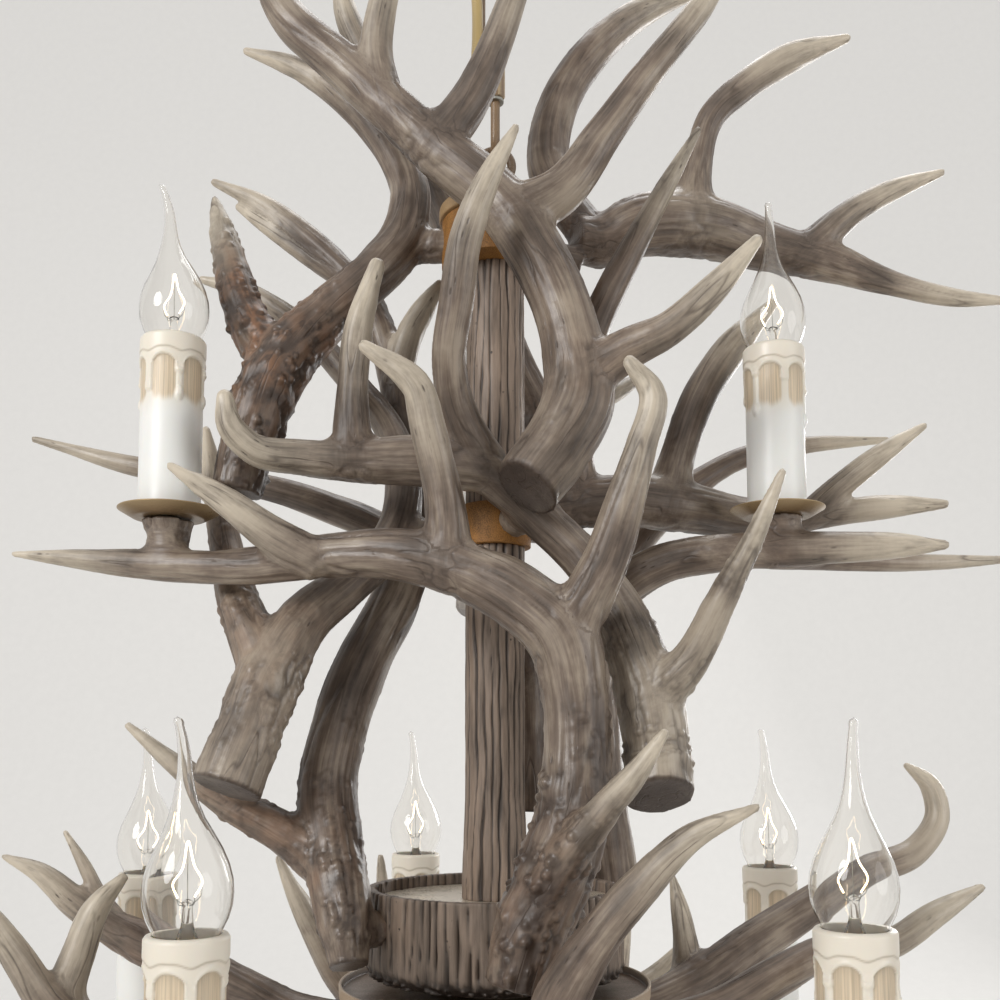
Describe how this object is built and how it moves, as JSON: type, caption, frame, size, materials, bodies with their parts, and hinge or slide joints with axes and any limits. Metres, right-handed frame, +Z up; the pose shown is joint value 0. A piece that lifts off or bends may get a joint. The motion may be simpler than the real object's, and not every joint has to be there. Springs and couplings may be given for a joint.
{
  "type": "antler chandelier",
  "caption": "Hanging chandelier of carved antlers round a bark column, with candle lamps on two tiers, a short chain, a ceiling canopy and a supply cord.",
  "frame": {"origin": "centre of the ceiling bracket's two fixing holes, on the face that meets the ceiling", "axes": "+Z up out of the ceiling face along the column, -Y towards the viewer of the picture, +X to the viewer's right"},
  "size_m": [0.5649, 0.4365, 0.7514],
  "materials": {
    "antler": "satin, grey-brown resin carved like antler, paler towards the tips",
    "candle_sleeve": "satin, off-white with a cream waxy band",
    "bulb_glass": "clear polished glass with a brass screw cap",
    "bronze_paint": "satin tan bronze",
    "quick_link_zinc": "satin tan bronze, worn paler at the nut's edges",
    "zinc_steel": "plain zinc",
    "black_plastic": "matt",
    "hub_paint": "mustard brown, speckled like suede, its lid tan",
    "bark_resin": "matt, ridged like bark",
    "plate_paint": "satin brown with a pale rim",
    "saucer_paint": "satin bronze brown",
    "white_plastic": "plain",
    "cord_jacket": "clear gold jacket, gloss"
  },
  "bodies": {
    "ceiling_fitting": {"ceiling_bracket": "zinc_steel", "canopy": "bronze_paint", "canopy_nut": "bronze_paint", "cord_gland": "black_plastic", "canopy_eye": "bronze_paint", "supply_cord": "cord_jacket"},
    "chain_link_1": {"chain_link_1": "bronze_paint"},
    "chain_link_2": {"chain_link_2": "bronze_paint"},
    "quick_link": {"quick_link": "quick_link_zinc"},
    "quick_link_nut": {"quick_link_nut": "quick_link_zinc"},
    "lower_back_left_bulb": {"lower_back_left_bulb": "bulb_glass"},
    "lower_back_right_bulb": {"lower_back_right_bulb": "bulb_glass"},
    "lower_front_left_bulb": {"lower_front_left_bulb": "bulb_glass"},
    "lower_front_right_bulb": {"lower_front_right_bulb": "bulb_glass"},
    "lower_left_bulb": {"lower_left_bulb": "bulb_glass"},
    "lower_right_bulb": {"lower_right_bulb": "bulb_glass"},
    "upper_back_bulb": {"upper_back_bulb": "bulb_glass"},
    "upper_left_bulb": {"upper_left_bulb": "bulb_glass"},
    "upper_right_bulb": {"upper_right_bulb": "bulb_glass"},
    "chandelier": {"antler_studs": "zinc_steel", "back_stem_antler": "antler", "bark_sleeve_lower": "bark_resin", "bark_sleeve_upper": "bark_resin", "base_plate": "plate_paint", "candle_saucers": "saucer_paint", "column_pipe": "zinc_steel", "crossing_antler": "antler", "drum": "bark_resin", "drum_plate": "plate_paint", "finial_nut": "hub_paint", "front_stem_antler": "antler", "hub": "hub_paint", "hub_eye": "bronze_paint", "hub_lid": "hub_paint", "lamp_holders": "white_plastic", "left_outer_antler": "antler", "left_stem_antler": "antler", "low_back_left_antler": "antler", "low_back_right_antler": "antler", "low_front_left_antler": "antler", "low_front_right_antler": "antler", "low_left_antler": "antler", "low_right_antler": "antler", "lower_back_left_sleeve": "candle_sleeve", "lower_back_right_sleeve": "candle_sleeve", "lower_front_left_sleeve": "candle_sleeve", "lower_front_right_sleeve": "candle_sleeve", "lower_hub": "hub_paint", "lower_left_sleeve": "candle_sleeve", "lower_right_sleeve": "candle_sleeve", "middle_hub": "hub_paint", "right_stem_antler": "antler", "right_upper_antler": "antler", "upper_back_antler": "antler", "upper_back_sleeve": "candle_sleeve", "upper_front_antler": "antler", "upper_left_antler": "antler", "upper_left_sleeve": "candle_sleeve", "upper_right_antler": "antler", "upper_right_sleeve": "candle_sleeve"}
  },
  "joints": [
    {"name": "canopy_eye_pivot", "type": "hinge", "parent": "ceiling_fitting", "child": "chain_link_1", "pos_m": [0, 0, -0.0839], "axis": [1, 0, 0], "range_deg": [-10, 10], "deforming": ["supply_cord"]},
    {"name": "chain_pivot", "type": "hinge", "parent": "chain_link_1", "child": "chain_link_2", "pos_m": [0, 0, -0.1256], "axis": [0, 1, 0], "range_deg": [-10, 10]},
    {"name": "quick_link_pivot", "type": "hinge", "parent": "chain_link_2", "child": "quick_link", "pos_m": [0, 0, -0.1673], "axis": [1, 0, 0], "range_deg": [-10, 10]},
    {"name": "hub_eye_pivot", "type": "hinge", "parent": "quick_link", "child": "chandelier", "pos_m": [0, 0, -0.237], "axis": [0, 1, 0], "range_deg": [-10, 10]},
    {"name": "quick_link_nut_screw", "type": "slide", "parent": "quick_link", "child": "quick_link_nut", "axis": [0, 0, 1], "range_m": [0, 0.016]},
    {"name": "lower_back_left_bulb_unscrews", "type": "slide", "parent": "chandelier", "child": "lower_back_left_bulb", "axis": [0, 0, 1], "range_m": [0, 0.03]},
    {"name": "lower_back_right_bulb_unscrews", "type": "slide", "parent": "chandelier", "child": "lower_back_right_bulb", "axis": [0, 0, 1], "range_m": [0, 0.03]},
    {"name": "lower_front_left_bulb_unscrews", "type": "slide", "parent": "chandelier", "child": "lower_front_left_bulb", "axis": [0, 0, 1], "range_m": [0, 0.03]},
    {"name": "lower_front_right_bulb_unscrews", "type": "slide", "parent": "chandelier", "child": "lower_front_right_bulb", "axis": [0, 0, 1], "range_m": [0, 0.03]},
    {"name": "lower_left_bulb_unscrews", "type": "slide", "parent": "chandelier", "child": "lower_left_bulb", "axis": [0, 0, 1], "range_m": [0, 0.03]},
    {"name": "lower_right_bulb_unscrews", "type": "slide", "parent": "chandelier", "child": "lower_right_bulb", "axis": [0, 0, 1], "range_m": [0, 0.03]},
    {"name": "upper_back_bulb_unscrews", "type": "slide", "parent": "chandelier", "child": "upper_back_bulb", "axis": [0, 0, 1], "range_m": [0, 0.03]},
    {"name": "upper_left_bulb_unscrews", "type": "slide", "parent": "chandelier", "child": "upper_left_bulb", "axis": [0, 0, 1], "range_m": [0, 0.03]},
    {"name": "upper_right_bulb_unscrews", "type": "slide", "parent": "chandelier", "child": "upper_right_bulb", "axis": [0, 0, 1], "range_m": [0, 0.03]}
  ]
}
